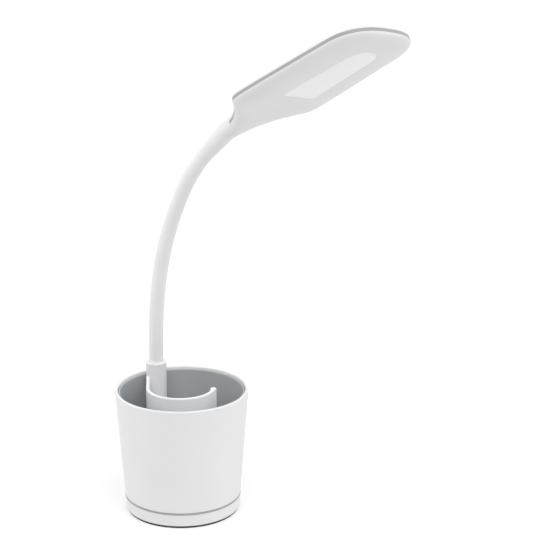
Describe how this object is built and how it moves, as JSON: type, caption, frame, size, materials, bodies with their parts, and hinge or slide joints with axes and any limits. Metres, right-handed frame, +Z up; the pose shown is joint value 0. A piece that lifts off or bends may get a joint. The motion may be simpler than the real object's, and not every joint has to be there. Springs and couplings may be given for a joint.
{
  "type": "desk lamp",
  "caption": "Desk lamp with a flat LED head on a flexible neck that rises from the back of a round pen holder with a curved inner divider",
  "frame": {"origin": "on the table at the centre of the round foot pad", "axes": "Z up out of the cup, -Y to the lamp's front where the head reaches out, the neck stands at +Y"},
  "size_m": [0.1551, 0.2611, 0.4474],
  "materials": {
    "white_plastic": "fine satin, moulded",
    "liner_plastic": "fine satin, moulded",
    "grey_plastic": "satin",
    "foot_rubber": "matt",
    "neck_silicone": "smooth and matt",
    "steel": "bare, turned",
    "weight_iron": "blackened",
    "diffuser": "opal, satin",
    "reflector": "white, smooth",
    "board": "green solder mask",
    "led_board": "white solder mask",
    "led": "yellow phosphor in a white frame",
    "component": "black moulded",
    "lead_black": "satin",
    "inlet_black": "black moulded",
    "brass": "bare"
  },
  "bodies": {
    "base": {"foot_pad": "foot_rubber", "base_tray": "white_plastic", "accent_band": "grey_plastic", "cup_shell": "white_plastic", "cup_liner": "liner_plastic", "cup_divider": "white_plastic", "neck_pillar": "white_plastic", "base_weight": "weight_iron", "base_screws": "steel", "pillar_screws": "steel", "driver_board": "board", "driver_components": "component", "driver_screws": "steel", "power_inlet": "inlet_black", "inlet_nut": "brass", "inlet_wires": "lead_black", "lead_grommet": "foot_rubber", "base_lead": "lead_black", "neck_stem": "steel", "neck_sleeve_0": "neck_silicone"},
    "neck_1": {"neck_core_1": "steel", "neck_sleeve_1": "neck_silicone"},
    "neck_2": {"neck_core_2": "steel", "neck_sleeve_2": "neck_silicone"},
    "neck_3": {"neck_core_3": "steel", "neck_sleeve_3": "neck_silicone"},
    "neck_4": {"neck_core_4": "steel", "neck_sleeve_4": "neck_silicone"},
    "neck_5": {"neck_core_5": "steel", "neck_sleeve_5": "neck_silicone"},
    "neck_6": {"neck_core_6": "steel", "neck_sleeve_6": "neck_silicone"},
    "neck_7": {"neck_core_7": "steel", "neck_sleeve_7": "neck_silicone"},
    "neck_8": {"neck_core_8": "steel", "neck_sleeve_8": "neck_silicone"},
    "neck_9": {"neck_core_9": "steel", "neck_sleeve_9": "neck_silicone"},
    "head": {"neck_elbow": "steel", "neck_cuff": "neck_silicone", "elbow_nut": "steel", "head_shell": "white_plastic", "head_trim": "grey_plastic", "head_cover": "white_plastic", "diffuser": "diffuser", "light_frame": "reflector", "led_board": "led_board", "leds": "led", "board_screws": "steel", "switch_board": "board", "switch_body": "component", "head_lead": "lead_black"},
    "button": {"power_button": "white_plastic", "switch_plunger": "component"}
  },
  "joints": [
    {"name": "neck_bend_1", "type": "hinge", "parent": "base", "child": "neck_1", "pos_m": [0, 0.044, 0.128], "axis": [0.9659, 0.2588, 0], "range_deg": [-16, 12]},
    {"name": "neck_sway_1", "type": "hinge", "parent": "neck_1", "child": "neck_2", "pos_m": [0.00021, 0.04322, 0.15099], "axis": [-0.2587, 0.9653, 0.0349], "range_deg": [-14, 14]},
    {"name": "neck_bend_2", "type": "hinge", "parent": "neck_2", "child": "neck_3", "pos_m": [0.00042, 0.04245, 0.17397], "axis": [0.9659, 0.2588, 0], "range_deg": [-16, 12]},
    {"name": "neck_sway_2", "type": "hinge", "parent": "neck_3", "child": "neck_4", "pos_m": [0.00147, 0.03852, 0.19661], "axis": [-0.2547, 0.9507, 0.1771], "range_deg": [-14, 14]},
    {"name": "neck_bend_3", "type": "hinge", "parent": "neck_4", "child": "neck_5", "pos_m": [0.00252, 0.03458, 0.21924], "axis": [0.9659, 0.2588, 0], "range_deg": [-18, 12]},
    {"name": "neck_sway_3", "type": "hinge", "parent": "neck_5", "child": "neck_6", "pos_m": [0.00461, 0.0268, 0.24079], "axis": [-0.2424, 0.9048, 0.3502], "range_deg": [-14, 14]},
    {"name": "neck_bend_4", "type": "hinge", "parent": "neck_6", "child": "neck_7", "pos_m": [0.00669, 0.01902, 0.26233], "axis": [0.9659, 0.2588, 0], "range_deg": [-18, 12]},
    {"name": "neck_sway_4", "type": "hinge", "parent": "neck_7", "child": "neck_8", "pos_m": [0.0096, 0.00818, 0.28241], "axis": [-0.2259, 0.8432, 0.4879], "range_deg": [-14, 14]},
    {"name": "neck_bend_5", "type": "hinge", "parent": "neck_8", "child": "neck_9", "pos_m": [0.0125, -0.00266, 0.30249], "axis": [0.9659, 0.2588, 0], "range_deg": [-18, 12]},
    {"name": "neck_sway_5", "type": "hinge", "parent": "neck_9", "child": "head", "pos_m": [0.01678, -0.01861, 0.31849], "axis": [-0.1801, 0.6722, 0.7181], "range_deg": [-14, 14]},
    {"name": "button_press", "type": "slide", "parent": "head", "child": "button", "axis": [-0.1158, -0.5483, -0.8282], "range_m": [0, 0.0006], "stiffness_N_per_m": 600, "springref_m": -0.0006}
  ],
  "couplings": [
    {"joint": "neck_bend_2", "follows": "neck_bend_1", "ratio": 1},
    {"joint": "neck_bend_4", "follows": "neck_bend_3", "ratio": 1},
    {"joint": "neck_bend_5", "follows": "neck_bend_3", "ratio": 1},
    {"joint": "neck_sway_2", "follows": "neck_sway_1", "ratio": 1},
    {"joint": "neck_sway_4", "follows": "neck_sway_3", "ratio": 1},
    {"joint": "neck_sway_5", "follows": "neck_sway_3", "ratio": 1}
  ]
}
